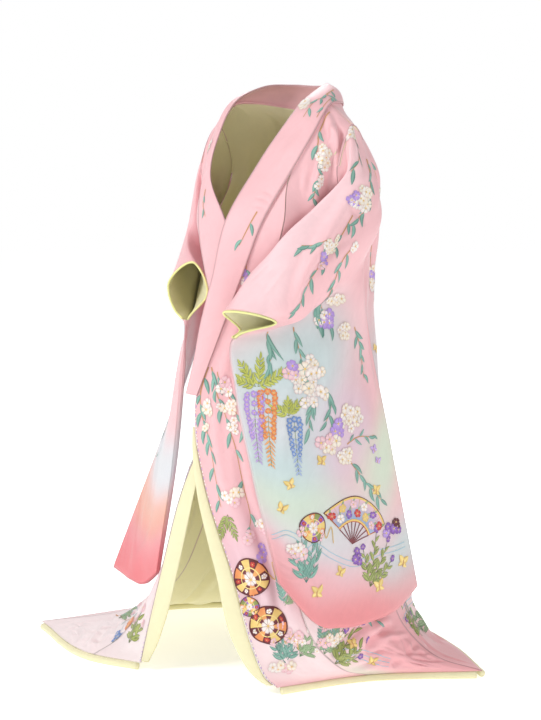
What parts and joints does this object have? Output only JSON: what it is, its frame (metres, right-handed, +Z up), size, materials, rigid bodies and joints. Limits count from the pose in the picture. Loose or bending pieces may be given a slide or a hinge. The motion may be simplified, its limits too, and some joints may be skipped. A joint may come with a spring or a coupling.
{
  "type": "trailing wedding over-kimono",
  "caption": "Padded silk wedding over-kimono as worn, left front over right, long hanging sleeves, rolled hem trailing on the floor",
  "frame": {"origin": "on the wearer's centre line at shoulder height, where the wearer's shoulders hold the robe, 1.335 m above the floor", "axes": "+Z up, -Y towards the wearer's front, +X towards the wearer's left, metres"},
  "size_m": [1.1123, 0.7581, 1.396],
  "materials": {
    "silk": "soft pink figured silk, low sheen",
    "sleeve_silk": "soft pink figured silk, low sheen",
    "lining": "yellow-green lining silk, low sheen"
  },
  "bodies": {
    "root": {"front_left": "silk", "front_right": "silk", "back_left": "silk", "back_right": "silk", "okumi_left": "silk", "okumi_right": "silk", "collar_left": "silk", "collar_right": "silk", "sleeve_left": "sleeve_silk", "sleeve_right": "sleeve_silk", "cuff_left": "lining", "cuff_right": "lining", "fuki_front_left": "lining", "fuki_front_right": "lining", "fuki_hem_left": "lining", "fuki_hem_right": "lining", "fuki_hem_back": "lining"}
  },
  "joints": []
}
